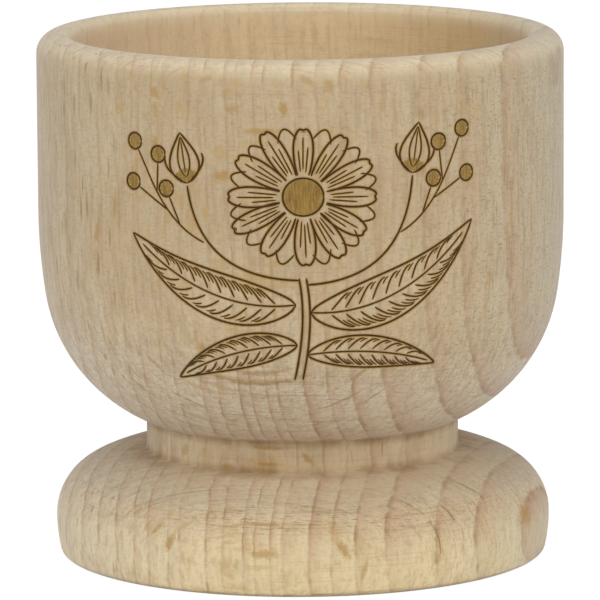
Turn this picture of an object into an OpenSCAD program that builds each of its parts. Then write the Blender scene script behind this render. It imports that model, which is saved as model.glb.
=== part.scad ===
// Turned beech egg cup: bowl, neck and foot in one block of wood.
// The origin is at the middle of the flat base, with the lathe axis along +Z.
// The outside is a chain of arcs, each tangent to the last, broken only by the two sharp
// corners of the neck. It is turned about the axis, and the hollow for the egg is bored out.

/* [Overall] */
// Height from the table to the top of the rim
cup_h = 48; // [45:0.5:60]
// Outside diameter of the bowl, across its upright side
bowl_d = 48; // [46:0.5:56]

/* [Rim] */
// Thickness of the bowl's wall at the mouth
wall_t = 3.2; // [2.8:0.1:5]
// Radius that rounds the outer edge of the rim
rim_edge_r = 1.8; // [0.8:0.1:1.9]
// Radius that softens the inner edge of the rim
mouth_edge_r = 0.8; // [0.3:0.1:0.9]

/* [Bowl] */
// Radius of the long curve that starts the side inwards
cheek_r = 52; // [30:1:80]
// Angle that the long curve turns through
cheek_turn = 8.4; // [5:0.2:14]
// Radius of the round belly below it, down to the neck
belly_r = 15; // [12:0.1:17]

/* [Hollow] */
// Depth of the hollow below the rim
hollow_depth = 27; // [24:0.5:30]
// Radius that rounds the side of the hollow into its floor
hollow_r = 18; // [14:0.5:19]

/* [Neck] */
// Diameter of the neck
neck_d = 28.6; // [24:0.2:32]
// Height of the neck between its two corners
neck_h = 2.8; // [1.5:0.1:5]

/* [Foot] */
// Diameter of the foot at its widest
foot_d = 45.3; // [42:0.1:50]
// Height of the widest place above the table
foot_wide_h = 3.55; // [3:0.05:4.5]
// Radius of the flatter curve below the widest place
foot_side_r = 14; // [9:0.5:20]
// Radius of the rounded shoulder above the widest place
shoulder_r = 5.4; // [4:0.1:6.5]
// Angle that the shoulder turns through
shoulder_turn = 65; // [56:1:72]
// Radius of the slack curve that runs on from the shoulder to the neck
crown_r = 13.8; // [12:0.2:24]
// Radius that breaks the edge round the base
base_edge_r = 0.7; // [0.4:0.05:1.5]

/* [Hidden] */
// Facets round the axis
turn_fn = 192;
// How far the middle of a facet may lie inside its arc
arc_sag = 0.008;
// How far a cut runs past the face that it opens
overrun = 1;

// Point on an arc, at an angle above straight out from the axis
function on_arc(centre, r, angle) = centre + r * [cos(angle), sin(angle)];

// Points along an arc, after the one that it starts from
function arc(centre, r, from, to) =
    let (steps = ceil(abs(to - from) / (2 * acos(1 - arc_sag / r))))
    [for (i = [1:steps]) on_arc(centre, r, from + (to - from) * i / steps)];

// Angle at which an arc is a given distance from the axis
function angle_where(centre_x, r, x) = acos((x - centre_x) / r);

// Foot, from the base up to the neck
side_c = [foot_d / 2 - foot_side_r, foot_wide_h];
side_turn = asin((foot_wide_h - base_edge_r) / (foot_side_r - base_edge_r));
edge_c = on_arc(side_c, foot_side_r - base_edge_r, -side_turn);
shoulder_c = [foot_d / 2 - shoulder_r, foot_wide_h];
crown_c = on_arc(shoulder_c, shoulder_r - crown_r, shoulder_turn);
crown_end = angle_where(crown_c.x, crown_r, neck_d / 2);
foot_h = on_arc(crown_c, crown_r, crown_end).y;

// Bowl, from the neck up to the rim
bowl_low = foot_h + neck_h;
belly_x = bowl_d / 2 - cheek_r + (cheek_r - belly_r) * cos(cheek_turn);
belly_start = angle_where(belly_x, belly_r, neck_d / 2);
belly_c = [belly_x, bowl_low + belly_r * sin(belly_start)];
cheek_c = on_arc(belly_c, belly_r - cheek_r, -cheek_turn);
rim_c = [bowl_d / 2 - rim_edge_r, cup_h - rim_edge_r];

// Hollow, from its floor up to the mouth
mouth_d = bowl_d - 2 * wall_t;
hollow_c = [mouth_d / 2 - hollow_r, cup_h - hollow_depth + hollow_r];
mouth_c = [mouth_d / 2 + mouth_edge_r, cup_h - mouth_edge_r];

// Half section of the block as turned, before it is hollowed
module turned_outline() {
    polygon(concat(
        [[0, 0], [edge_c.x, 0]],
        arc(edge_c, base_edge_r, -90, -side_turn),
        arc(side_c, foot_side_r, -side_turn, 0),
        arc(shoulder_c, shoulder_r, 0, shoulder_turn),
        arc(crown_c, crown_r, shoulder_turn, crown_end),
        [[neck_d / 2, bowl_low]],
        arc(belly_c, belly_r, -belly_start, -cheek_turn),
        arc(cheek_c, cheek_r, -cheek_turn, 0),
        [[bowl_d / 2, rim_c.y]],
        arc(rim_c, rim_edge_r, 0, 90),
        [[0, cup_h]]
    ));
}

// Half section of the hollow, flared at the mouth to soften the inner edge
module hollow_outline() {
    polygon(concat(
        [[0, cup_h - hollow_depth], [hollow_c.x, cup_h - hollow_depth]],
        arc(hollow_c, hollow_r, -90, 0),
        [[mouth_d / 2, mouth_c.y]],
        arc(mouth_c, mouth_edge_r, 180, 90),
        [[mouth_c.x, cup_h + overrun], [0, cup_h + overrun]]
    ));
}

module cup() {
    color("burlywood") rotate_extrude($fn = turn_fn) difference() {
        turned_outline();
        hollow_outline();
    }
}

cup();
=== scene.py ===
"""Looks of the turned beech egg cup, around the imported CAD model."""
import math
import random

import bmesh
import bpy
from mathutils import Matrix, Vector


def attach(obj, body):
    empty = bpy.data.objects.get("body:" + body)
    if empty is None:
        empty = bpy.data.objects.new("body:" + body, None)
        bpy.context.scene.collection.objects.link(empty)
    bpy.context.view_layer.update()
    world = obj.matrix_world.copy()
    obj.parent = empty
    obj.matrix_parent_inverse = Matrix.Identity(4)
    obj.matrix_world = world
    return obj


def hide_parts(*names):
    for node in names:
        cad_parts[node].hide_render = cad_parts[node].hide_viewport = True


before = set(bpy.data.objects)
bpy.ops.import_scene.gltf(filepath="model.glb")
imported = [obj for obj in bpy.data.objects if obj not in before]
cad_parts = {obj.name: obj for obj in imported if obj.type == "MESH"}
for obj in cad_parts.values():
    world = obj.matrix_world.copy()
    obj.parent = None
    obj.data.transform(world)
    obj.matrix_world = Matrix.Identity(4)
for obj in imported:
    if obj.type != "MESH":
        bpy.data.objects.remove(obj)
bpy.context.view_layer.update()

MM = 0.001  # one millimetre in metres; every size below is in millimetres

# Outline of the cup, with the same names and sizes as the part's source
CUP_H = 48.0
BOWL_D = 48.0
WALL_T = 3.2
RIM_EDGE_R = 1.8
MOUTH_EDGE_R = 0.8
CHEEK_R = 52.0
CHEEK_TURN = 8.4
BELLY_R = 15.0
HOLLOW_DEPTH = 27.0
HOLLOW_R = 18.0
NECK_D = 28.6
NECK_H = 2.8
FOOT_D = 45.3
FOOT_WIDE_H = 3.55
FOOT_SIDE_R = 14.0
SHOULDER_R = 5.4
SHOULDER_TURN = 65.0
CROWN_R = 13.8
BASE_EDGE_R = 0.7
NECK_CORNER_R = 0.22  # how much sanding has rounded the two corners of the neck

# Fineness of the turned mesh
FACETS_ROUND = 256
FACET_OUTSIDE = 0.6
FACET_HIDDEN = 1.1
EASE_STEPS = 4
MERGE_WITHIN = 0.002  # closes the seam, and the two points where the outline meets the axis

# Burned drawing: half widths of its strokes, and the section of the groove in half widths
LINE_HALF = 0.10
VEIN_HALF = 0.08
HATCH_HALF = 0.065
FILL_HALF = 0.20
FILL_PITCH = 0.30
STROKE_STEP = 0.32
TAPER_LENGTH = 0.8  # a stroke starts at half its width, and gains a whole width over this length
BEND_STEPS = 24
SEEDS = 38
GOLDEN_ANGLE = 137.5  # turn from one seed of the flower to the next, in degrees
DRAWING_SEED = 7
LINE_SECTION = (  # height, place across, depth of burn
    (1.2, -2.3, 0.0), (1.2, 2.3, 0.0), (-0.05, 2.3, 0.0), (-0.14, 1.0, 0.6),
    (-0.95, 0.45, 1.0), (-0.95, -0.45, 1.0), (-0.14, -1.0, 0.6), (-0.05, -2.3, 0.0),
)
FILL_SECTION = (
    (1.0, -1.5, 0.0), (1.0, 1.5, 0.0), (-0.05, 1.5, 0.0), (-0.22, 0.9, 0.66),
    (-0.22, -0.9, 0.66), (-0.05, -1.5, 0.0),
)
SHARP_FROM = 28.0  # edges that turn more than this many degrees stay crisp

# Growth rings: the pith of the tree lies to the right and a little in front of the cup, and
# the edges of the rings are measured from the middle of the cup towards it
PITH_DISTANCE = 266.3
PITH_TURN = 15.0
GRAIN_LEAN = 0.022
RING_EDGES = (
    -28.5, -26.5, -24.5, -22.5, -20.5, -19, -17, -15, -13, -11, -9.5, -7.5, -6.5, -4, -2.5,
    -0.5, 0.5, 2, 3, 5.5, 7.5, 9.5, 12, 16, 19, 22, 25, 28,
)

# Rays laid bare in long lines: middle towards the pith, round it and up, half sizes, strength
LONG_RAYS = (
    ((1, 48, 19.5), (6, 0.13, 1.7), 0.75),
    ((1.5, 47.5, 20.5), (3.5, 0.11, 1.2), 0.65),
    ((1, 47, 22), (3, 0.1, 1.2), 0.45),
    ((-8, 49.5, 20.5), (2, 0.1, 1.5), 0.55),
    ((-10, 52, 18), (1.5, 0.1, 1.5), 0.6),
    ((-5.5, 50.5, 17), (2, 0.1, 1.5), 0.6),
    ((10.5, 49.5, 20.5), (2, 0.15, 1.6), 0.6),
    ((11, 51.5, 17.5), (2, 0.1, 1.6), 0.55),
    ((8.5, 50.5, 17.5), (3, 0.1, 1.6), 0.5),
    ((1, 48, 6), (5, 0.12, 1.1), 0.4),
    ((17.5, 60, 8), (2.5, 0.1, 1.6), 0.8),
    ((13.5, 53.5, 7.5), (1.5, 0.1, 1.2), 0.6),
    ((17, 55.5, 6.5), (1, 0.1, 1.5), 0.75),
    ((16, 53.5, 4.5), (1.5, 0.1, 1.8), 0.8),
)

# Golden flecks: place round the surface and up, half sizes, lean in degrees, strength
FLECKS = (
    (-13.5, 45, 0.45, 0.55, 0, 0.8), (-13.5, 43.5, 0.4, 0.7, 0, 0.6), (-13.5, 40.5, 0.4, 0.7, 0, 0.9),
    (-8.5, 46.5, 0.85, 0.3, 20, 0.5), (-6, 44, 0.75, 0.4, 10, 0.6), (-1.5, 44, 0.45, 0.6, 0, 0.9),
    (0.5, 46.5, 0.8, 0.35, -25, 0.6), (2.5, 46, 0.45, 0.7, 0, 0.6), (-3.5, 42, 1.55, 0.3, 0, 0.8),
    (-7, 38, 0.9, 0.5, 0, 0.9), (-15.5, 38.5, 0.3, 1.25, 0, 0.6), (-18, 35, 0.35, 1.25, 0, 0.6),
    (-20.5, 32, 0.35, 0.95, 0, 0.8), (-9, 22.5, 0.5, 0.3, -40, 0.8), (21.5, 33, 0.15, 4.2, 0, 0.7),
    (18.5, 27.5, 0.1, 1.1, 0, 0.9), (-12.5, 4.5, 0.45, 0.95, -30, 0.9), (-3.5, 4, 1.4, 0.45, 0, 0.8),
    (3.5, 4.5, 0.4, 1.1, 35, 0.9), (-6, 3, 0.35, 0.65, 0, 0.5), (25, 5, 1.5, 1.2, -10, 0.9),
    (5.5, 2.5, 0.25, 1.25, -15, 0.6), (-14, 5.5, 0.2, 0.8, -50, 0.8), (-3, 12, 1.5, 0.2, 0, 0.9),
    (-3, 10.5, 1.4, 0.2, 0, 0.8), (-12, 11, 0.5, 0.75, -30, 0.8), (-7, 10, 0.6, 0.4, 0, 0.8),
    (0.5, 11, 0.3, 0.8, 40, 0.9), (4.5, 11, 0.1, 0.8, 10, 0.9), (7.5, 11.5, 0.1, 0.9, 0, 0.9),
)

# Camera, worked out from the outline of the cup in the photograph
CAMERA_AT = (0.0, -548.48, 113.83)
CAMERA_AIM = (-0.145, 0.0, 23.13)
CAMERA_LENS = 363.86
CAMERA_ROLL = -0.0066

# Heights on the cup that the colour of the wood follows
NECK_LOW = 9.7
NECK_HIGH = 12.5
NECK_MIDDLE = 11.0
FOOT_SLOPE = 8.3
RELIEF = 0.03  # how far the finest relief of the wood stands out

# Stage: one sheet of paper, three square lamps that face the cup, and a dim white room
PAPER_HALF = 3000.0
PAPER_DROP = 0.02  # keeps the paper just clear of the base
PAPER_SHADE = 0.9
PAPER_GLOW = 1.2
PAPER_GLOW_SHARE = 0.75
ROOM_LIGHT = 0.36
LAMPS = (  # name, place, side of the square, power
    ("front_lamp", (0, -700, 700), 700, 3.7),
    ("left_lamp", (-800, -350, 500), 600, 2.15),
    ("right_lamp", (800, -350, 500), 600, 2.55),
)
LAMP_AIM = (0, 0, 20)


# Outline of the cup

def on_arc(centre, radius, angle):
    """Point on an arc, at an angle in degrees above straight out from the axis."""
    turn = math.radians(angle)
    return (centre[0] + radius * math.cos(turn), centre[1] + radius * math.sin(turn))


def arc(centre, radius, start, end, step):
    """Points along an arc after the one that it starts from, about a step apart."""
    length = radius * math.radians(abs(end - start))
    count = max(2, math.ceil(length / step))
    return [on_arc(centre, radius, start + (end - start) * i / count) for i in range(1, count + 1)]


def line(start, end, step):
    """Points along a straight line after the one that it starts from, about a step apart."""
    count = max(1, math.ceil(math.dist(start, end) / step))
    return [tuple(a + (b - a) * i / count for a, b in zip(start, end)) for i in range(1, count + 1)]


def shares(steps):
    """Even steps from 0 to 1."""
    return [i / steps for i in range(steps + 1)]


def curve_at(start, lean, end, t):
    """Point on a curve from start to end that leans towards a third point."""
    return tuple(
        (1 - t) ** 2 * a + 2 * t * (1 - t) * b + t ** 2 * c for a, b, c in zip(start, lean, end))


def eased(before, corner, after, radius):
    """Points that round a corner off, from the lines that come into it and leave it."""
    def back(towards):
        reach = math.dist(corner, towards)
        return tuple(c + (t - c) * radius / reach for c, t in zip(corner, towards))
    start, end = back(before), back(after)
    return [curve_at(start, corner, end, t) for t in shares(EASE_STEPS)]


def cup_outline():
    """Half section of the cup, from the middle of the base round to the middle of the hollow."""
    side_c = (FOOT_D / 2 - FOOT_SIDE_R, FOOT_WIDE_H)
    side_turn = math.degrees(math.asin((FOOT_WIDE_H - BASE_EDGE_R) / (FOOT_SIDE_R - BASE_EDGE_R)))
    edge_c = on_arc(side_c, FOOT_SIDE_R - BASE_EDGE_R, -side_turn)
    shoulder_c = (FOOT_D / 2 - SHOULDER_R, FOOT_WIDE_H)
    crown_c = on_arc(shoulder_c, SHOULDER_R - CROWN_R, SHOULDER_TURN)
    crown_end = math.degrees(math.acos((NECK_D / 2 - crown_c[0]) / CROWN_R))
    foot_h = on_arc(crown_c, CROWN_R, crown_end)[1]

    bowl_low = foot_h + NECK_H
    cheek_turn = math.radians(CHEEK_TURN)
    belly_x = BOWL_D / 2 - CHEEK_R + (CHEEK_R - BELLY_R) * math.cos(cheek_turn)
    belly_start = math.degrees(math.acos((NECK_D / 2 - belly_x) / BELLY_R))
    belly_c = (belly_x, bowl_low + BELLY_R * math.sin(math.radians(belly_start)))
    cheek_c = on_arc(belly_c, BELLY_R - CHEEK_R, -CHEEK_TURN)
    rim_c = (BOWL_D / 2 - RIM_EDGE_R, CUP_H - RIM_EDGE_R)

    mouth_r = BOWL_D / 2 - WALL_T
    hollow_c = (mouth_r - HOLLOW_R, CUP_H - HOLLOW_DEPTH + HOLLOW_R)
    mouth_c = (mouth_r + MOUTH_EDGE_R, CUP_H - MOUTH_EDGE_R)

    foot_top = arc(crown_c, CROWN_R, SHOULDER_TURN, crown_end, FACET_OUTSIDE)
    belly = arc(belly_c, BELLY_R, -belly_start, -CHEEK_TURN, FACET_OUTSIDE)
    neck_low, neck_high = (NECK_D / 2, foot_h), (NECK_D / 2, bowl_low)
    points = [(0.0, 0.0)]
    points += line(points[-1], (edge_c[0], 0.0), FACET_HIDDEN)
    points += arc(edge_c, BASE_EDGE_R, -90, -side_turn, FACET_OUTSIDE / 3)
    points += arc(side_c, FOOT_SIDE_R, -side_turn, 0, FACET_OUTSIDE)
    points += arc(shoulder_c, SHOULDER_R, 0, SHOULDER_TURN, FACET_OUTSIDE)
    points += foot_top[:-1]
    points += eased(foot_top[-2], neck_low, neck_high, NECK_CORNER_R)
    neck_corner = eased(neck_low, neck_high, belly[0], NECK_CORNER_R)
    points += line(points[-1], neck_corner[0], FACET_OUTSIDE)
    points += neck_corner[1:]
    points += belly
    points += arc(cheek_c, CHEEK_R, -CHEEK_TURN, 0, FACET_OUTSIDE)
    points += line(points[-1], (BOWL_D / 2, rim_c[1]), FACET_OUTSIDE)
    points += arc(rim_c, RIM_EDGE_R, 0, 90, FACET_OUTSIDE / 2)
    points += line(points[-1], (mouth_c[0], CUP_H), FACET_OUTSIDE)
    points += arc(mouth_c, MOUTH_EDGE_R, 90, 180, FACET_OUTSIDE / 3)
    points += line(points[-1], (mouth_r, hollow_c[1]), FACET_HIDDEN)
    points += arc(hollow_c, HOLLOW_R, 0, -90, FACET_HIDDEN)
    points += line(points[-1], (0.0, CUP_H - HOLLOW_DEPTH), FACET_HIDDEN)
    return points


# Helpers for nodes, colours and objects

class Nodes:
    """Adds nodes to one tree, taking sockets or plain values as inputs."""

    def __init__(self, tree):
        self.tree = tree

    def add(self, kind, inputs=None, **settings):
        node = self.tree.nodes.new(kind)
        for name, value in settings.items():
            setattr(node, name, value)
        for key, value in (inputs or {}).items():
            if isinstance(value, bpy.types.NodeSocket):
                self.tree.links.new(value, node.inputs[key])
            else:
                node.inputs[key].default_value = value
        return node

    def out(self, kind, inputs=None, **settings):
        """First output of a new node."""
        return self.add(kind, inputs, **settings).outputs[0]

    def math(self, operation, *terms):
        return self.out("ShaderNodeMath", dict(enumerate(terms)), operation=operation)

    def times(self, first, second):
        return self.math("MULTIPLY", first, second)

    def distance(self, x, y):
        """Distance from the middle of a place that lies x across and y along."""
        return self.math("SQRT", self.math("ADD", self.times(x, x), self.times(y, y)))

    def apart(self, first, second):
        """How far two numbers are apart."""
        return self.math("ABSOLUTE", self.math("SUBTRACT", first, second))

    def centred(self, value):
        """A value that had its middle at 0.5, moved to have it at 0."""
        return self.math("SUBTRACT", value, 0.5)

    def vector(self, x, y, z):
        return self.out("ShaderNodeCombineXYZ", {0: x, 1: y, 2: z})

    def each(self, operation, values, terms):
        """Vector of three values, each multiplied or divided by a term of its own."""
        return self.vector(*(self.math(operation, value, term) for value, term in zip(values, terms)))

    def ramp(self, value, low, high, at_low=0.0, at_high=1.0):
        """Smooth change from one number to another as value goes from low to high."""
        return self.out(
            "ShaderNodeMapRange", {0: value, 1: low, 2: high, 3: at_low, 4: at_high},
            interpolation_type="SMOOTHSTEP")

    def noise(self, place, scale, detail=2.0, rough=0.5):
        """Noise from 0 to 1, with its middle at 0.5."""
        return self.add("ShaderNodeTexNoise", {
            "Vector": place, "Scale": scale, "Detail": detail, "Roughness": rough}).outputs["Fac"]

    def mix(self, share, first, second):
        """Colour between two colours, which this kind of node takes as inputs 6 and 7."""
        return self.add("ShaderNodeMix", {0: share, 6: first, 7: second}, data_type="RGBA").outputs[2]


def tint(red, green, blue):
    """Linear colour from the 0 to 255 numbers of a screen colour."""
    def linear(value):
        value /= 255
        return value / 12.92 if value <= 0.04045 else ((value + 0.055) / 1.055) ** 2.4
    return (linear(red), linear(green), linear(blue), 1.0)


def new_object(name, data):
    """Object in the scene, made of a mesh, a lamp or a camera."""
    thing = bpy.data.objects.new(name, data)
    bpy.context.scene.collection.objects.link(thing)
    return thing


def new_material(name):
    """Material with an empty tree of nodes."""
    material = bpy.data.materials.new(name)
    material.use_nodes = True
    material.node_tree.nodes.clear()
    return material


def made_plain(thing, name):
    """New object whose mesh is what the first one's modifiers make of it."""
    graph = bpy.context.evaluated_depsgraph_get()
    mesh = bpy.data.meshes.new_from_object(
        thing.evaluated_get(graph), preserve_all_data_layers=True, depsgraph=graph)
    mesh.name = name
    return new_object(name, mesh)


# The turned body

def finish_tree(n, geometry, material):
    """End of a tree: smooth shading, real geometry and the material."""
    smooth = n.out("GeometryNodeSetShadeSmooth", {"Geometry": geometry})
    real = n.out("GeometryNodeRealizeInstances", {0: smooth})
    coated = n.out("GeometryNodeSetMaterial", {"Geometry": real, "Material": material})
    n.add("NodeGroupOutput", {0: coated})


def turning_tree(material):
    """Geometry Nodes tree that turns an outline about the Z axis, as a lathe does."""
    tree = bpy.data.node_groups.new("Turn outline", "GeometryNodeTree")
    tree.interface.new_socket("Outline", in_out="INPUT", socket_type="NodeSocketGeometry")
    facets = tree.interface.new_socket("Facets round", in_out="INPUT", socket_type="NodeSocketInt")
    tree.interface.new_socket("Turned", in_out="OUTPUT", socket_type="NodeSocketGeometry")
    n = Nodes(tree)
    given = n.add("NodeGroupInput").outputs
    points = n.add("GeometryNodeAttributeDomainSize", {0: given["Outline"]}).outputs["Point Count"]
    columns = n.math("ADD", given["Facets round"], 1)
    grid = n.add("GeometryNodeMeshGrid", {"Vertices X": columns, "Vertices Y": points}).outputs["Mesh"]

    # A point of the grid takes its place from one point of the outline, turned about the axis
    index = n.out("GeometryNodeInputIndex")
    column = n.math("FLOOR", n.math("DIVIDE", index, points))
    row = n.math("SUBTRACT", index, n.times(column, points))

    def of_outline(field, kind):
        return n.out(
            "GeometryNodeSampleIndex", {"Geometry": given["Outline"], "Value": field, "Index": row},
            data_type=kind, domain="POINT")

    share_round = n.math("DIVIDE", column, given["Facets round"])
    place = of_outline(n.out("GeometryNodeInputPosition"), "FLOAT_VECTOR")
    angle = n.times(share_round, 2 * math.pi)
    turned = n.out("ShaderNodeVectorRotate", {"Vector": place, "Angle": angle}, rotation_type="Z_AXIS")
    run = n.out("GeometryNodeInputNamedAttribute", {"Name": "run"}, data_type="FLOAT")
    bake_place = n.vector(share_round, of_outline(run, "FLOAT"), 0.0)
    shaped = n.out("GeometryNodeSetPosition", {"Geometry": grid, "Position": turned})
    mapped = n.out(
        "GeometryNodeStoreNamedAttribute", {"Geometry": shaped, "Name": "OFBake", "Value": bake_place},
        data_type="FLOAT2", domain="CORNER")
    closed = n.out(
        "GeometryNodeMergeByDistance", {"Geometry": mapped, "Distance": MERGE_WITHIN * MM})
    finish_tree(n, closed, material)
    return tree, facets.identifier


def turned_cup(material):
    """The cup as one closed mesh, turned from its outline."""
    outline = cup_outline()
    mesh = bpy.data.meshes.new("cup_outline")
    mesh.from_pydata(
        [(r * MM, 0.0, z * MM) for r, z in outline],
        [(i, i + 1) for i in range(len(outline) - 1)], [])
    lengths = [0.0]
    for start, end in zip(outline, outline[1:]):
        lengths.append(lengths[-1] + math.dist(start, end))
    run = mesh.attributes.new("run", "FLOAT", "POINT")
    run.data.foreach_set("value", [length / lengths[-1] for length in lengths])
    lathe = new_object("cup_outline", mesh)
    tree, facets = turning_tree(material)
    modifier = lathe.modifiers.new("turn", "NODES")
    modifier.node_group = tree
    modifier[facets] = FACETS_ROUND
    cup = made_plain(lathe, "turned_cup")
    bpy.data.objects.remove(lathe)
    return cup


# The burned drawing

class Drawing:
    """Strokes of a drawing on the unrolled bowl, across and up in millimetres."""

    def __init__(self):
        self.lines = []
        self.fills = []

    def line(self, points, half_width=LINE_HALF):
        self.lines.append((points, half_width))

    def bend(self, start, lean, end, half_width=LINE_HALF):
        """Line along a curve from start to end that leans towards a point."""
        self.line([curve_at(start, lean, end, t) for t in shares(BEND_STEPS)], half_width)

    def fill(self, centre, across, up, turn=0.0):
        """Close rows of shallow burning that fill an oval."""
        rows = max(2, round(2 * up / FILL_PITCH))
        for row in range(rows):
            v = up * (2 * (row + 0.5) / rows - 1)
            half = across * math.sqrt(1 - (v / up) ** 2)
            ends = [(-half, v), (half, v)]
            self.fills.append(([turned_about(end, turn, centre) for end in ends], FILL_HALF))

    def oval(self, centre, across, up):
        angles = [2 * math.pi * i / 28 for i in range(29)]
        self.line([turned_about((across * math.cos(a), up * math.sin(a)), 0.0, centre) for a in angles])


def turned_about(point, turn, centre):
    """A point drawn about the origin, turned in degrees and moved to a centre."""
    c, s = math.cos(math.radians(turn)), math.sin(math.radians(turn))
    return (centre[0] + c * point[0] - s * point[1], centre[1] + s * point[0] + c * point[1])


def draw_leaf(drawing, base, lean, tip, half_width, veins):
    """Leaf with a midrib, curved side veins, and shading beside them, more of it on one half."""
    def spot(t, side):
        x, y = curve_at(base, lean, tip, t)
        ahead = curve_at(base, lean, tip, min(1.0, t + 0.01))
        behind = curve_at(base, lean, tip, max(0.0, t - 0.01))
        dx, dy = ahead[0] - behind[0], ahead[1] - behind[1]
        size = math.hypot(dx, dy)
        wide = side * half_width * math.sin(math.pi * t ** 0.78) ** 0.85
        return (x - dy / size * wide, y + dx / size * wide)

    def side_vein(start, side, steps, half_width):
        """Some steps of the eight that lead from the midrib nearly to the edge."""
        drawing.line([spot(start + 0.13 * k / 8, side * 0.84 * math.sin(math.pi * k / 16))
                      for k in steps], half_width)

    for side in (1, -1):
        drawing.line([spot(t, side) for t in shares(40)])
    drawing.line([spot(0.93 * i / 30, 0) for i in range(31)], VEIN_HALF)
    for i in range(veins):
        start = 0.10 + 0.72 * i / veins
        side_vein(start, 1, range(1, 9), VEIN_HALF)
        side_vein(start + 0.035, 1, range(4, 8), HATCH_HALF)
        side_vein(start, -1, range(1, 9), VEIN_HALF)
        for gap in (0.025, 0.05):
            side_vein(start + gap, -1, range(3, 8), HATCH_HALF)


def draw_blossom(drawing, centre, petals, heart, reach, squeeze, rng):
    """Open flower seen from the front, with a burned heart full of seeds."""
    def put(along, aside, turn):
        x, y = turned_about((along, aside), turn, (0, 0))
        return (centre[0] + x, centre[1] + y * squeeze)

    for i in range(petals):
        turn = 360 * i / petals + rng.uniform(-3, 3)
        long = reach * rng.uniform(0.93, 1.03)
        half = math.tan(math.pi / petals) * reach * rng.uniform(0.60, 0.68)
        edge = []
        for share_round in shares(40):
            t = share_round * math.pi
            tip = 1 - 0.05 * math.exp(-((t - math.pi / 2) / 0.16) ** 2)
            share = math.sin(t)
            along = heart + 0.25 + (long - heart - 0.25) * share ** 0.9 * tip
            aside = -half * math.cos(t) * (0.42 + 0.75 * share ** 0.7)
            edge.append(put(along, aside, turn))
        drawing.line(edge)
        for aside, start, end in ((-0.28, 0.0, 0.52), (0.02, 0.06, 0.72), (0.30, 0.02, 0.45)):
            drawing.line([put(heart + 0.5 + (long - heart) * (start + (end - start) * k / 10),
                              half * aside * (0.7 + 0.6 * k / 10), turn) for k in range(11)], HATCH_HALF)
        between = turn + 180 / petals
        drawing.line([put(reach * (0.95 - 0.17 * (k / 8) ** 2), 0.105 * k, between)
                      for k in range(-8, 9)], VEIN_HALF)
    drawing.fill(centre, heart, heart * squeeze)
    drawing.oval(centre, heart, heart * squeeze)
    for i in range(SEEDS):
        away = heart * 0.9 * math.sqrt((i + 0.5) / SEEDS)
        x, y = put(away, 0, GOLDEN_ANGLE * i)
        drawing.line([(x - 0.06, y), (x + 0.06, y)], HATCH_HALF)


def draw_bud(drawing, base, turn, size):
    """Closed bud on its cup of small leaves, pointing along a turn in degrees."""
    def put(along, aside):
        return turned_about((along * size, aside * size), turn, base)

    for side in (1, -1):
        drawing.line([put(3.6 * t, side * 1.15 * math.sin(math.pi * t ** 0.7)) for t in shares(20)])
        drawing.line([put(0.4 + 2.9 * t, side * 0.45 * math.sin(math.pi * t ** 0.8))
                      for t in shares(12)], VEIN_HALF)
        drawing.line([put(0.1 + 1.9 * t, side * (0.25 + 1.25 * math.sin(1.9 * t))) for t in shares(10)])
    drawing.line([put(0.7 + 2.3 * k / 8, 0.0) for k in range(9)], HATCH_HALF)
    drawing.fill(put(0.55, 0), 0.5 * size, 0.75 * size, turn)


def draw_berries(drawing, stem, lean, end, places, size):
    """Twig of round berries, each on a short stalk."""
    drawing.bend(stem, lean, end, VEIN_HALF)
    for i, place in enumerate(places):
        t = 0.35 + 0.6 * i / max(1, len(places) - 1)
        root = curve_at(stem, lean, end, t)
        reach = math.dist(root, place)
        near = tuple(p + (r - p) * size / reach for p, r in zip(place, root))
        drawing.line([root, tuple((a + b) / 2 for a, b in zip(root, near)), near], VEIN_HALF)
        drawing.fill(place, size * 0.9, size * 0.9)
        drawing.oval(place, size, size)


def sprig():
    """The drawing on the front of the bowl: a flower between leaves, buds and berries."""
    drawing = Drawing()
    rng = random.Random(DRAWING_SEED)
    draw_blossom(drawing, (0.2, 36.2), 12, 1.8, 7.0, 0.93, rng)
    for aside in (-0.32, 0.32):
        drawing.bend((0.1 + aside, 29.0), (0.9 + aside, 25.0), (-0.3 + aside * 1.2, 19.6))
    draw_leaf(drawing, (-0.5, 26.6), (-8.4, 25.6), (-16.0, 32.4), 2.1, 9)
    draw_leaf(drawing, (-0.4, 22.9), (-6.2, 22.9), (-12.4, 19.4), 1.5, 8)
    draw_leaf(drawing, (0.8, 25.9), (8.9, 25.3), (16.3, 33.4), 2.2, 9)
    draw_leaf(drawing, (0.5, 22.0), (6.8, 22.9), (13.2, 20.6), 1.5, 8)
    drawing.bend((-0.2, 28.8), (-9.2, 29.0), (-10.3, 37.0))
    draw_bud(drawing, (-10.3, 37.2), 99, 1.25)
    drawing.bend((0.5, 28.4), (9.4, 28.8), (10.1, 37.8))
    draw_bud(drawing, (10.1, 38.0), 82, 1.25)
    draw_berries(drawing, (-8.7, 32.0), (-12.2, 33.4), (-14.6, 38.6),
                 [(-12.4, 36.6), (-15.9, 37.0), (-13.2, 39.6), (-15.7, 40.6)], 0.72)
    draw_berries(drawing, (8.9, 32.8), (12.2, 34.4), (14.2, 39.4),
                 [(12.2, 37.4), (15.7, 37.6), (12.7, 40.6), (15.2, 41.6)], 0.72)
    return drawing


def bowl_side():
    """Outside of the bowl as a list of radius and height, from the neck up to the rim."""
    outline = cup_outline()
    top = max(range(len(outline)), key=lambda i: (outline[i][0], outline[i][1]))
    side = [outline[top]]
    for point in reversed(outline[:top]):
        if point[0] < NECK_D / 2 + 1:
            break
        side.append(point)
    return side[::-1]


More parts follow.
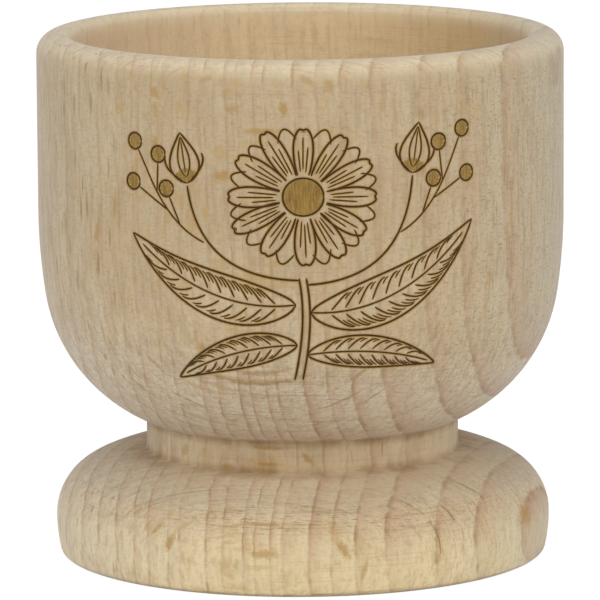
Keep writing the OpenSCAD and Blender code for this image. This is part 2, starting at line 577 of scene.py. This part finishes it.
def stroke_mesh(name, strokes):
    """Strokes laid on the bowl as chains of edges, with their width and the way out of the wood."""
    side = bowl_side()
    places, ways, widths, edges = [], [], [], []
    for points, half_width in strokes:
        path = [points[0]]
        for start, end in zip(points, points[1:]):
            if math.dist(start, end) > 1e-6:
                path += line(start, end, STROKE_STEP)
        for i, (u, v) in enumerate(path):
            low, high = next((a, b) for a, b in zip(side, side[1:]) if b[1] >= v or b is side[-1])
            share = (v - low[1]) / (high[1] - low[1])
            radius = low[0] + (high[0] - low[0]) * share
            slope = math.atan2(low[0] - high[0], high[1] - low[1])
            turn = u / (BOWL_D / 2)
            places.append((radius * math.sin(turn) * MM, -radius * math.cos(turn) * MM, v * MM))
            level = math.cos(slope)
            ways.append((level * math.sin(turn), -level * math.cos(turn), math.sin(slope)))
            from_end = min(i, len(path) - 1 - i) * STROKE_STEP
            widths.append(half_width * min(1.0, 0.5 + from_end / TAPER_LENGTH) * MM)
            if i:
                edges.append((len(places) - 2, len(places) - 1))
    mesh = bpy.data.meshes.new(name)
    mesh.from_pydata(places, edges, [])
    mesh.attributes.new("half_width", "FLOAT", "POINT").data.foreach_set("value", widths)
    mesh.attributes.new("way_out", "FLOAT_VECTOR", "POINT").data.foreach_set(
        "vector", [number for way in ways for number in way])
    return mesh


def tool_mesh(name, section):
    """Closed section of the burned groove: height, place across, and how deeply it is burned."""
    mesh = bpy.data.meshes.new(name)
    count = len(section)
    mesh.from_pydata([(high, aside, 0.0) for high, aside, _ in section],
                     [(i, (i + 1) % count) for i in range(count)], [])
    burn = mesh.attributes.new("burn", "FLOAT", "POINT")
    burn.data.foreach_set("value", [heat for _, _, heat in section])
    return mesh


def burning_tree(material):
    """Geometry Nodes tree that sinks strokes into the wood, each with the section of its tool."""
    tree = bpy.data.node_groups.new("Burn strokes", "GeometryNodeTree")
    tree.interface.new_socket("Wood", in_out="INPUT", socket_type="NodeSocketGeometry")
    sockets = [tree.interface.new_socket(name, in_out="INPUT", socket_type="NodeSocketObject")
               for name in ("Lines", "Line tool", "Fills", "Fill tool")]
    tree.interface.new_socket("Burned wood", in_out="OUTPUT", socket_type="NodeSocketGeometry")
    n = Nodes(tree)
    given = n.add("NodeGroupInput").outputs

    def attribute(name, kind):
        return n.out("GeometryNodeInputNamedAttribute", {"Name": name}, data_type=kind)

    def store(geometry, name, value, kind):
        return n.out(
            "GeometryNodeStoreNamedAttribute", {"Geometry": geometry, "Name": name, "Value": value},
            data_type=kind, domain="CORNER")

    def shape_of(name):
        return n.add("GeometryNodeObjectInfo", {"Object": given[name]}).outputs["Geometry"]

    def grooves(strokes, tool):
        path = n.out("GeometryNodeMeshToCurve", {"Mesh": shape_of(strokes)})
        path = n.out(
            "GeometryNodeSetCurveNormal",
            {"Curve": path, "Normal": attribute("way_out", "FLOAT_VECTOR")}, mode="FREE")
        section = n.out("GeometryNodeMeshToCurve", {"Mesh": shape_of(tool)})
        swept = n.out("GeometryNodeCurveToMesh", {
            "Curve": path, "Profile Curve": section, "Scale": attribute("half_width", "FLOAT"),
            "Fill Caps": True})
        on_wood = n.out("GeometryNodeSampleNearestSurface", {
            "Mesh": given["Wood"], "Value": attribute("OFBake", "FLOAT_VECTOR"),
            "Sample Position": n.out("GeometryNodeInputPosition")},
            data_type="FLOAT_VECTOR")
        swept = store(swept, "burn", attribute("burn", "FLOAT"), "FLOAT")
        swept = store(swept, "OFBake", on_wood, "FLOAT2")
        island = n.add("GeometryNodeInputMeshIsland").outputs["Island Index"]
        return n.add("GeometryNodeSplitToInstances", {"Geometry": swept, "Group ID": island},
                     domain="FACE").outputs["Instances"]

    wood = store(given["Wood"], "burn", 0.0, "FLOAT")
    cut = n.add("GeometryNodeMeshBoolean", {"Mesh 1": wood}, operation="DIFFERENCE", solver="MANIFOLD")
    for strokes, tool in (("Lines", "Line tool"), ("Fills", "Fill tool")):
        tree.links.new(grooves(strokes, tool), cut.inputs["Mesh 2"])
    finish_tree(n, cut.outputs["Mesh"], material)
    return tree, [socket.identifier for socket in sockets]


def burn_drawing(cup, drawing, material):
    """Sink the drawing into the cup's mesh as real grooves."""
    helpers = [new_object(mesh.name, mesh) for mesh in (
        stroke_mesh("drawn_lines", drawing.lines), tool_mesh("line_tool", LINE_SECTION),
        stroke_mesh("drawn_fills", drawing.fills), tool_mesh("fill_tool", FILL_SECTION),
    )]
    tree, sockets = burning_tree(material)
    modifier = cup.modifiers.new("burn", "NODES")
    modifier.node_group = tree
    for socket, helper in zip(sockets, helpers):
        modifier[socket] = helper
    burned = made_plain(cup, "egg_cup_beech")
    for helper in helpers + [cup]:
        bpy.data.objects.remove(helper)
    tidy_mesh(burned.data, material)
    return burned


def tidy_mesh(mesh, material):
    """Leave one closed solid with one material, and without the crumbs that a cut can leave."""
    work = bmesh.new()
    work.from_mesh(mesh)
    unseen = set(work.verts)
    islands = []
    while unseen:
        island, to_visit = [], [unseen.pop()]
        while to_visit:
            vertex = to_visit.pop()
            island.append(vertex)
            for edge in vertex.link_edges:
                other = edge.other_vert(vertex)
                if other in unseen:
                    unseen.discard(other)
                    to_visit.append(other)
        islands.append(island)
    islands.sort(key=len)
    crumbs = [vertex for island in islands[:-1] for vertex in island]
    bmesh.ops.delete(work, geom=crumbs, context="VERTS")
    for face in work.faces:
        face.material_index = 0
    work.to_mesh(mesh)
    work.free()
    mesh.materials.clear()
    mesh.materials.append(material)
    for spare in ("half_width", "way_out"):
        if spare in mesh.attributes:
            mesh.attributes.remove(mesh.attributes[spare])
    mesh.set_sharp_from_angle(angle=math.radians(SHARP_FROM))


# Beech

class Beech(Nodes):
    """Quarter-sawn beech: growth rings, ray flecks, pores, and the marks of the lathe."""

    def __init__(self, tree):
        super().__init__(tree)
        metres = self.add("ShaderNodeTexCoord").outputs["Object"]
        self.place = self.out("ShaderNodeVectorMath", {0: metres, "Scale": 1 / MM}, operation="SCALE")
        axes = self.add("ShaderNodeSeparateXYZ", {0: self.place}).outputs
        self.x, self.y, self.z = axes[0], axes[1], axes[2]

    def coat(self, share, tone):
        """Lay a tone over the colour so far, as strongly as a share says."""
        self.colour = self.mix(share, self.colour, tone)

    def find_place_in_tree(self):
        """Where a point lies in the tree: towards the pith, round it, and up the trunk."""
        turn = math.radians(PITH_TURN)
        pith_x, pith_y = PITH_DISTANCE * math.cos(turn), -PITH_DISTANCE * math.sin(turn)
        from_pith_x = self.math("SUBTRACT", self.math("MULTIPLY_ADD", self.z, GRAIN_LEAN, self.x), pith_x)
        from_pith_y = self.math("SUBTRACT", self.y, pith_y)
        depth = self.math("SUBTRACT", PITH_DISTANCE, self.distance(from_pith_x, from_pith_y))
        round_pith = self.math("ARCTAN2", from_pith_y, self.times(from_pith_x, -1.0))
        self.across = self.times(round_pith, PITH_DISTANCE)
        self.wander = self.centred(self.noise(self.place, 0.09, 1.0))
        jag = self.centred(self.noise(
            self.vector(self.times(depth, 0.2), self.across, self.z), 0.75, 2.0, 0.6))
        self.depth = self.math("MULTIPLY_ADD", self.wander, 0.9, depth)
        self.ragged = self.math("MULTIPLY_ADD", jag, 0.42, self.depth)
        self.in_tree = self.vector(self.depth, self.across, self.z)

    def grow_rings(self):
        """Growth rings: a thin dark line, then late wood that fades towards the pith."""
        first, last = RING_EDGES[0], RING_EDGES[-1]
        rings = len(RING_EDGES) - 1
        share_across = self.math("DIVIDE", self.math("SUBTRACT", self.ragged, first), last - first)
        curve = self.add("ShaderNodeFloatCurve", {"Value": share_across})
        spacing = curve.mapping.curves[0].points
        for i, edge in enumerate(RING_EDGES):
            at = ((edge - first) / (last - first), i / rings)
            if i in (0, rings):
                spacing[-1 if i else 0].location = at
            else:
                spacing.new(*at)
        for point in spacing:
            point.handle_type = "VECTOR"
        curve.mapping.update()
        count = self.times(curve.outputs[0], rings)
        part = self.math("FRACT", count)
        number = self.math("FLOOR", count)
        own = self.add("ShaderNodeTexWhiteNoise", {"W": number}, noise_dimensions="1D").outputs["Value"]
        fading = self.math("POWER", self.math("SUBTRACT", 1.0, part), 1.8)
        self.late = self.times(fading, self.ramp(own, 0, 1, 0.5, 1.0))
        thin = self.math("MAXIMUM", self.ramp(part, 0.0, 0.17, 1.0, 0.0), self.ramp(part, 0.93, 1.0))
        patchy = self.ramp(self.noise(self.in_tree, 0.45, 3.0, 0.65), 0.41, 0.62, 0.05, 1.1)
        self.ring_line = self.times(thin, patchy)

    def ribbons(self, along, thick, tall, least, most, share):
        """Thin upright ribbons that run towards the pith; share says how many of them show."""
        cells = self.add("ShaderNodeTexVoronoi", {
            "Vector": self.each("DIVIDE", (self.depth, self.frayed, self.z), (along, thick, tall)),
            "Scale": 1.0, "Exponent": 1.5}, feature="F1", distance="MINKOWSKI")
        chance = self.add("ShaderNodeSeparateColor", {0: cells.outputs["Color"]}).outputs
        size = self.ramp(chance[1], 0.0, 1.0, least, most)
        inside = self.math("DIVIDE", cells.outputs["Distance"], size)
        return self.times(self.ramp(inside, 0.5, 1.0, 1.0, 0.0), self.ramp(chance[0], 1.0 - share, 1.0))

    def marks(self, where, rows):
        """Single marks with ragged edges, from rows of middle, half size, lean and strength."""
        strongest = 0.0
        for middle, half_size, lean, strength in rows:
            inside = self.out("ShaderNodeMapping", {
                "Vector": where, "Location": middle, "Rotation": (0.0, 0.0, math.radians(lean)),
                "Scale": half_size}, vector_type="TEXTURE")
            away = self.add("ShaderNodeVectorMath", {0: inside}, operation="LENGTH").outputs["Value"]
            mark = self.ramp(self.math("ADD", away, self.ragged_edge), 0.35, 1.30, strength, 0.0)
            strongest = self.math("MAXIMUM", strongest, mark)
        return strongest

    def add_rays(self):
        """Rays: all over the wood as ribbons and flecks, and the largest ones one by one."""
        x, y, z = self.x, self.y, self.z
        self.frayed = self.math(
            "MULTIPLY_ADD", self.centred(self.noise(self.place, 1.3, 2.0)), 0.16, self.across)
        self.broad_rays = self.ribbons(30.0, 0.30, 2.3, 0.34, 0.60, 0.65)
        self.fine_rays = self.ribbons(9.0, 0.15, 1.1, 0.30, 0.60, 0.8)
        spots = self.each("MULTIPLY", (self.depth, self.frayed, z), (0.16, 2.6, 1.1))
        self.flecks = self.ramp(self.noise(spots, 1.0, 3.0, 0.6), 0.53, 0.70)

        self.radius = self.distance(x, y)
        along = self.times(self.math("ARCTAN2", x, self.times(y, -1.0)), self.radius)
        self.ragged_edge = self.math("MULTIPLY_ADD", self.noise(self.place, 2.6, 2.0, 0.7), 1.7, -0.85)
        self.long_rays = self.marks(self.vector(self.depth, self.frayed, z), [
            (middle, half_size, 0, strength) for middle, half_size, strength in LONG_RAYS])
        self.placed_flecks = self.marks(self.vector(along, z, 0.0), [
            ((a, b, 0.0), (wide, tall, 1.0), lean, strength)
            for a, b, wide, tall, lean, strength in FLECKS])

    def add_pores(self):
        """Pores: short dark dashes up the trunk, most of them on the side away from the pith."""
        pores = self.add("ShaderNodeTexVoronoi", {
            "Vector": self.each("DIVIDE", (self.x, self.y, self.z), (0.5, 0.5, 3.4)), "Scale": 1.0},
            feature="F1", distance="EUCLIDEAN")
        chance = self.add("ShaderNodeSeparateColor", {0: pores.outputs["Color"]}).outputs
        dashes = self.times(
            self.ramp(pores.outputs["Distance"], 0.16, 0.42, 1.0, 0.0), self.ramp(chance[0], 0.5, 1.0))
        self.dashes = self.times(dashes, self.math(
            "MAXIMUM", self.ramp(self.depth, -5.0, -15.0), self.ramp(self.depth, 8.0, 20.0, 0.12, 0.3)))

    def find_facing(self):
        """How far the surface lies flat along a ray, and how far it is cut across the grain."""
        turn = math.radians(PITH_TURN)
        normal = self.add("ShaderNodeNewGeometry").outputs["Normal"]
        self.flat_on = self.math("ABSOLUTE", self.add("ShaderNodeVectorMath", {
            0: normal, 1: (math.sin(turn), math.cos(turn), 0.0)}, operation="DOT_PRODUCT").outputs["Value"])
        self.end_on = self.math("ABSOLUTE", self.add("ShaderNodeSeparateXYZ", {0: normal}).outputs[2])

    def add_clouds(self):
        """Fibres and streaks up the trunk, and softer patches."""
        x, y, z, depth, across = self.x, self.y, self.z, self.depth, self.across
        self.fibre = self.noise(self.each("MULTIPLY", (depth, across, z), (5.0, 5.0, 0.8)), 1.0, 3.0, 0.7)
        self.streak = self.noise(self.each("MULTIPLY", (depth, across, z), (1.6, 1.6, 0.14)), 1.0, 3.0, 0.6)
        self.mottle = self.noise(self.place, 0.11, 2.0)
        self.cloud = self.noise(self.vector(depth, across, self.times(z, 0.45)), 0.35, 3.0, 0.6)
        self.blotch = self.noise(self.each("MULTIPLY", (x, y, z), (0.9, 0.9, 0.4)), 1.0, 3.0, 0.65)

    def lay_wood(self):
        """The wood's own tone, with painted light and shade over it: paler and yellower inside and towards
        the foot and lighter on the belly as painted bounce light, darker up the bowl and on the hollow's
        side walls as painted shade, and paler at the rim and the two sides as painted highlight and
        reflection.
        """
        x, z = self.x, self.z
        inward = self.times(self.ramp(self.radius, 21.9, 21.0), self.ramp(z, 20.0, 21.5))
        # low: painted bounce light from the paper, which pales and yellows the wood towards the base
        low = self.ramp(self.math("MULTIPLY_ADD", self.wander, 3.0, z), 2.0, 9.0, 1.0, 0.0)
        self.colour = self.mix(
            self.ramp(self.mottle, 0.3, 0.7), tint(211, 194, 161), tint(203, 183, 148))
        self.coat(self.ramp(self.cloud, 0.35, 0.75, 0.0, 0.40), tint(197, 171, 131))
        self.coat(self.times(low, 0.85), tint(237, 219, 175))
        # painted shade: the upper bowl darker
        self.coat(self.ramp(z, 22.0, 36.0, 0.0, 0.34), tint(180, 160, 126))
        # painted light inside the bowl: paler and warmer as bounced light, with painted shade on the side
        # walls, most on the right
        inside = self.mix(self.ramp(x, 2.0, 20.0), tint(233, 209, 169), tint(201, 172, 124))
        inside = self.mix(self.ramp(x, -4.0, -18.0), inside, tint(221, 195, 157))
        self.coat(self.times(inward, 0.9), inside)
        # painted bounce light from the paper on the underside of the bowl
        belly = self.times(self.ramp(z, 24.0, 17.0), self.ramp(z, 11.0, 14.0, 0.0, 0.6))
        self.coat(belly, tint(232, 218, 194))
        # painted highlight along the rim
        self.coat(self.ramp(z, 46.4, 47.6, 0.0, 0.85), tint(229, 213, 181))
        # painted pale reflection on the left side of the bowl, most on the belly
        painted_left_haze = self.times(self.ramp(x, -6.0, -20.0, 0.0, 0.36), self.ramp(z, 20.0, 28.0, 1.0, 0.2))
        self.coat(painted_left_haze, tint(228, 218, 198))
        # painted greyish reflection on the right side
        self.coat(self.ramp(x, 13.0, 23.0, 0.0, 0.35), tint(200, 196, 174))
        self.smooth_inside = self.ramp(inward, 0.0, 1.0, 1.0, 0.4)
        self.smooth_rim = self.ramp(z, 45.4, 46.8, 1.0, 0.3)
        self.neck = self.ramp(self.apart(z, NECK_MIDDLE), 1.6, 3.0, 1.0, 0.0)

    def lay_rings(self):
        """The rings, which sanding has paled on the bowl, and which break up low on the foot."""
        x, z, end_on = self.x, self.z, self.end_on
        sanded = self.times(self.ramp(z, 14.0, 26.0, 1.0, 0.58), self.smooth_inside)
        sanded = self.times(sanded, self.ramp(x, -4.0, -13.0, 1.0, 0.8))
        self.late = self.times(self.late, self.times(sanded, self.ramp(z, 1.5, 6.0, 0.55, 1.0)))
        broken = self.ramp(z, 2.5, 5.5, self.ramp(self.blotch, 0.42, 0.58, 0.2, 1.0), 1.05)
        self.ring_line = self.times(self.ring_line, self.times(sanded, broken))
        redder = self.times(self.late, self.ramp(self.depth, -6.0, 14.0, 0.9, 1.35))
        self.coat(self.times(redder, self.ramp(end_on, 0.0, 0.5, 0.50, 0.74)), tint(188, 147, 116))
        self.coat(self.times(self.ring_line, self.ramp(end_on, 0.0, 0.4, 0.50, 0.54)), tint(142, 104, 50))

    def lay_fibres(self):
        """Streaks, fibres and level threads, and the golden and dull patches over them."""
        x, z, blotch = self.x, self.z, self.blotch
        calm = self.times(self.ramp(z, 3.5, 8.0, 0.45, 1.0), self.ramp(self.neck, 0.0, 1.0, 1.0, 0.7))
        calm = self.times(calm, self.times(self.smooth_inside, self.smooth_rim))
        calm = self.times(calm, self.ramp(z, 14.0, 22.0, 1.0, 1.3))
        self.coat(self.times(calm, self.ramp(self.streak, 0.42, 0.72, 0.0, 0.36)), tint(164, 141, 110))
        speckle = self.ramp(self.fibre, 0.44, 0.78, 0.0, self.ramp(self.end_on, 0.1, 0.5, 0.22, 0.30))
        self.coat(self.times(calm, speckle), tint(150, 124, 94))
        level = self.out(
            "ShaderNodeVectorMath", {0: self.place, 1: (0.4, 0.4, 1.0)}, operation="MULTIPLY")
        threads = self.noise(level, 5.0, 2.0, 0.7)
        threads = self.ramp(threads, 0.48, 0.75, 0.0, self.ramp(x, 6.0, 18.0, 0.40, 0.65))
        self.coat(self.times(calm, threads), tint(160, 136, 108))
        golden = self.ramp(blotch, 0.52, 0.72, 0.0, self.ramp(self.neck, 0.0, 1.0, 0.36, 0.5))
        self.coat(self.times(self.smooth_inside, golden), tint(190, 156, 100))
        dull = self.ramp(blotch, 0.46, 0.30, 0.0, 0.32)
        self.coat(self.times(self.smooth_inside, dull), tint(186, 156, 132))
        self.coat(self.ramp(self.apart(z, FOOT_SLOPE), 0.4, 1.6, 0.10, 0.0), tint(155, 175, 170))

    def lay_rays(self):
        """Rays, flecks and pores: golden where a ray shows its side, dark where it is cut across."""
        end_on, flat_on = self.end_on, self.flat_on
        tone = self.mix(self.ramp(flat_on, 0.55, 0.92), tint(128, 100, 68), tint(188, 150, 88))
        self.flecks = self.times(self.flecks, self.smooth_inside)
        self.broad_rays = self.times(self.broad_rays, self.smooth_inside)
        self.fine_rays = self.times(self.fine_rays, self.times(self.smooth_inside, self.smooth_rim))
        self.coat(self.times(self.flecks, self.ramp(flat_on, 0.5, 0.95, 0.10, 0.34)), tone)
        facing = self.math("MAXIMUM", end_on, flat_on)
        self.coat(self.times(self.broad_rays, self.ramp(facing, 0.3, 0.95, 0.28, 0.38)), tone)
        self.coat(self.times(self.fine_rays, self.ramp(end_on, 0.2, 0.7, 0.22, 0.34)), tone)
        self.coat(self.times(self.times(self.dashes, self.smooth_inside), 0.60), tint(138, 106, 64))
        golden = self.times(self.placed_flecks, self.ramp(self.neck, 0.0, 1.0, 0.80, 1.0))
        self.coat(golden, tint(177, 137, 72))
        self.coat(self.times(self.long_rays, 0.85), self.mix(
            self.ramp(flat_on, 0.5, 0.85), tint(116, 86, 52), tint(160, 124, 64)))

    def lay_wear(self):
        """Painted contact shadow along the base edge, a pale neck, and the stain that polish has left in
        its two corners, deepened as painted shade.
        """
        z = self.z
        # painted contact shadow: the edge of the base darker where it meets the paper
        painted_contact_shadow = self.times(self.ramp(z, 0.1, 0.45, 1.0, 0.0), self.ramp(self.end_on, 0.85, 0.98, 0.5, 0.1))
        self.coat(painted_contact_shadow, tint(120, 96, 66))
        corner = self.math("MINIMUM", self.apart(z, NECK_LOW), self.apart(z, NECK_HIGH))
        in_groove = self.times(self.ramp(self.radius, 17.5, 15.0), self.ramp(z, 12.8, 13.2, 1.0, 0.0))
        self.coat(self.times(in_groove, self.ramp(self.cloud, 0.40, 0.70, 0.30, 0.0)), tint(240, 220, 184))
        in_groove = self.times(in_groove, self.ramp(self.cloud, 0.35, 0.65, 0.3, 1.0))
        # stain that polish has left in the neck's two corners, made darker as painted shade
        self.coat(self.times(self.ramp(corner, 0.05, 0.8, 0.6, 0.0), in_groove), tint(148, 110, 58))

    def lay_lathe_marks(self):
        """Fine level scores and short nicks, deeper where the surface is cut across the grain."""
        z, end_on, flat_on = self.z, self.end_on, self.flat_on
        on_lathe = (self.radius, z, self.math("ARCTAN2", self.y, self.x))
        score = self.noise(self.each("MULTIPLY", on_lathe, (6.0, 6.0, 2.2)), 1.0, 2.0, 0.6)
        nick = self.noise(self.each("MULTIPLY", on_lathe, (7.0, 7.0, 16.0)), 1.0, 2.0, 0.6)
        nicked = self.times(self.ramp(nick, 0.53, 0.70), self.ramp(end_on, 0.25, 0.6))
        nicked = self.times(nicked, self.ramp(end_on, 0.975, 0.995, 1.0, 0.15))
        nicked = self.times(nicked, self.times(
            self.ramp(flat_on, 0.3, 0.75), self.ramp(z, 9.0, 13.0, 0.7, 0.22)))
        fewer_left = self.ramp(self.x, -3.0, -12.0, 1.0, 0.5)
        self.coat(self.times(nicked, fewer_left), tint(128, 100, 72))
        scored = self.times(self.ramp(score, 0.54, 0.70), self.ramp(end_on, 0.15, 0.6, 0.25, 1.0))
        scored = self.times(scored, self.times(
            self.ramp(flat_on, 0.3, 0.75, 0.35, 1.0), self.smooth_rim))
        self.scored = self.times(scored, fewer_left)
        self.coat(self.times(self.scored, 0.46), tint(138, 112, 84))

    def lay_drawing(self):
        """Burned drawing: a golden scorch round every stroke, and dark brown in its groove."""
        burn = self.add("ShaderNodeAttribute", attribute_name="burn").outputs["Fac"]
        uneven = self.math("MULTIPLY_ADD", self.centred(self.fibre), 0.5, burn)
        scorch = self.times(self.ramp(burn, 0.02, 0.5, 0.0, 0.9), self.ramp(uneven, -0.1, 0.4, 0.5, 1.0))
        self.coat(scorch, tint(162, 128, 54))
        self.coat(self.ramp(uneven, 0.52, 0.92, 0.0, 0.95), tint(56, 24, 0))

    def finish(self):
        """Fine relief, roughness and the surface itself."""
        height = self.times(self.fibre, -0.5)
        height = self.math("MULTIPLY_ADD", self.fine_rays, -0.4, height)
        height = self.math("MULTIPLY_ADD", self.scored, -0.8, height)
        height = self.math("MULTIPLY_ADD", self.ring_line, -0.4, height)
        height = self.math("MULTIPLY_ADD", self.broad_rays, 0.25, height)
        bump = self.out("ShaderNodeBump", {"Height": height, "Distance": RELIEF * MM, "Strength": 0.6})
        rough = self.math("ADD", self.fibre, self.times(self.late, -0.2))
        rough = self.ramp(rough, 0.2, 0.8, 0.62, 0.78)
        rough = self.math("MULTIPLY_ADD", self.broad_rays, -0.10, rough)
        surface = self.out("ShaderNodeBsdfPrincipled", {
            "Base Color": self.colour, "Roughness": rough, "Specular IOR Level": 0.2,
            "Sheen Weight": 0.30, "Sheen Roughness": 0.45, "Normal": bump})
        self.add("ShaderNodeOutputMaterial", {0: surface})


def beech():
    """The cup's material."""
    material = new_material("turned_beech")
    wood = Beech(material.node_tree)
    wood.find_place_in_tree()
    wood.grow_rings()
    wood.add_rays()
    wood.add_pores()
    wood.find_facing()
    wood.add_clouds()
    wood.lay_wood()
    wood.lay_rings()
    wood.lay_fibres()
    wood.lay_rays()
    wood.lay_wear()
    wood.lay_lathe_marks()
    wood.lay_drawing()
    wood.finish()
    return material


# Stage, lights and camera

def paper():
    """Pale paper that the camera sees as nearly white, and that keeps the cup's shadow."""
    material = new_material("floor_paper")
    n = Nodes(material.node_tree)
    path = n.add("ShaderNodeLightPath").outputs
    seen = n.math("MAXIMUM", path["Is Camera Ray"], n.math(
        "MAXIMUM", path["Is Glossy Ray"], path["Is Transmission Ray"]))
    shade = (PAPER_SHADE, PAPER_SHADE, PAPER_SHADE, 1.0)
    lit = n.out("ShaderNodeBsdfDiffuse", {"Color": shade})
    glow = n.out("ShaderNodeEmission", {"Color": (1.0, 1.0, 1.0, 1.0), "Strength": PAPER_GLOW})
    share = n.times(seen, PAPER_GLOW_SHARE)
    surface = n.out("ShaderNodeMixShader", {0: share, 1: lit, 2: glow})
    n.add("ShaderNodeOutputMaterial", {0: surface})
    return material


def set_floor():
    """Sheet of paper under the cup, much wider than the picture."""
    half = PAPER_HALF * MM
    corners = [(-half, -half), (half, -half), (half, half), (-half, half)]
    mesh = bpy.data.meshes.new("floor")
    mesh.from_pydata([(x, y, -PAPER_DROP * MM) for x, y in corners], [], [(0, 1, 2, 3)])
    mesh.materials.append(paper())
    sheet = new_object("floor", mesh)


def soft_lamp(name, place, side, power):
    """Square lamp that faces the cup."""
    data = bpy.data.lights.new(name, "AREA")
    data.shape = "SQUARE"
    data.size, data.energy = side * MM, power
    lamp = new_object(name, data)
    lamp.location = Vector(place) * MM
    lamp.rotation_euler = (Vector(LAMP_AIM) - Vector(place)).to_track_quat("-Z", "Y").to_euler()


def set_world():
    """Room that is white to the camera and dim as a light."""
    world = bpy.data.worlds.new("studio")
    world.use_nodes = True
    world.node_tree.nodes.clear()
    n = Nodes(world.node_tree)
    path = n.add("ShaderNodeLightPath").outputs
    seen = n.math("MAXIMUM", path["Is Camera Ray"], path["Is Transmission Ray"])
    strength = n.math("MULTIPLY_ADD", seen, 1.0 - ROOM_LIGHT, ROOM_LIGHT)
    back = n.out("ShaderNodeBackground", {"Color": (1.0, 1.0, 1.0, 1.0), "Strength": strength})
    n.add("ShaderNodeOutputWorld", {0: back})
    bpy.context.scene.world = world


def set_camera():
    """Camera that sees the cup as the photograph does."""
    data = bpy.data.cameras.new("camera")
    data.lens = CAMERA_LENS
    data.sensor_width = 36.0
    data.clip_start, data.clip_end = 0.01, 20.0
    camera = new_object("camera", data)
    look = (Vector(CAMERA_AIM) - Vector(CAMERA_AT)).to_track_quat("-Z", "Y").to_matrix().to_4x4()
    camera.matrix_world = (
        Matrix.Translation(Vector(CAMERA_AT) * MM) @ look @ Matrix.Rotation(CAMERA_ROLL, 4, "Z"))
    bpy.context.scene.camera = camera


bpy.context.scene.view_settings.view_transform = "Standard"
set_camera()
set_world()
set_floor()
for lamp in LAMPS:
    soft_lamp(*lamp)

wood = beech()
cup = burn_drawing(turned_cup(wood), sprig(), wood)
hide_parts("cup")
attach(cup, "root")
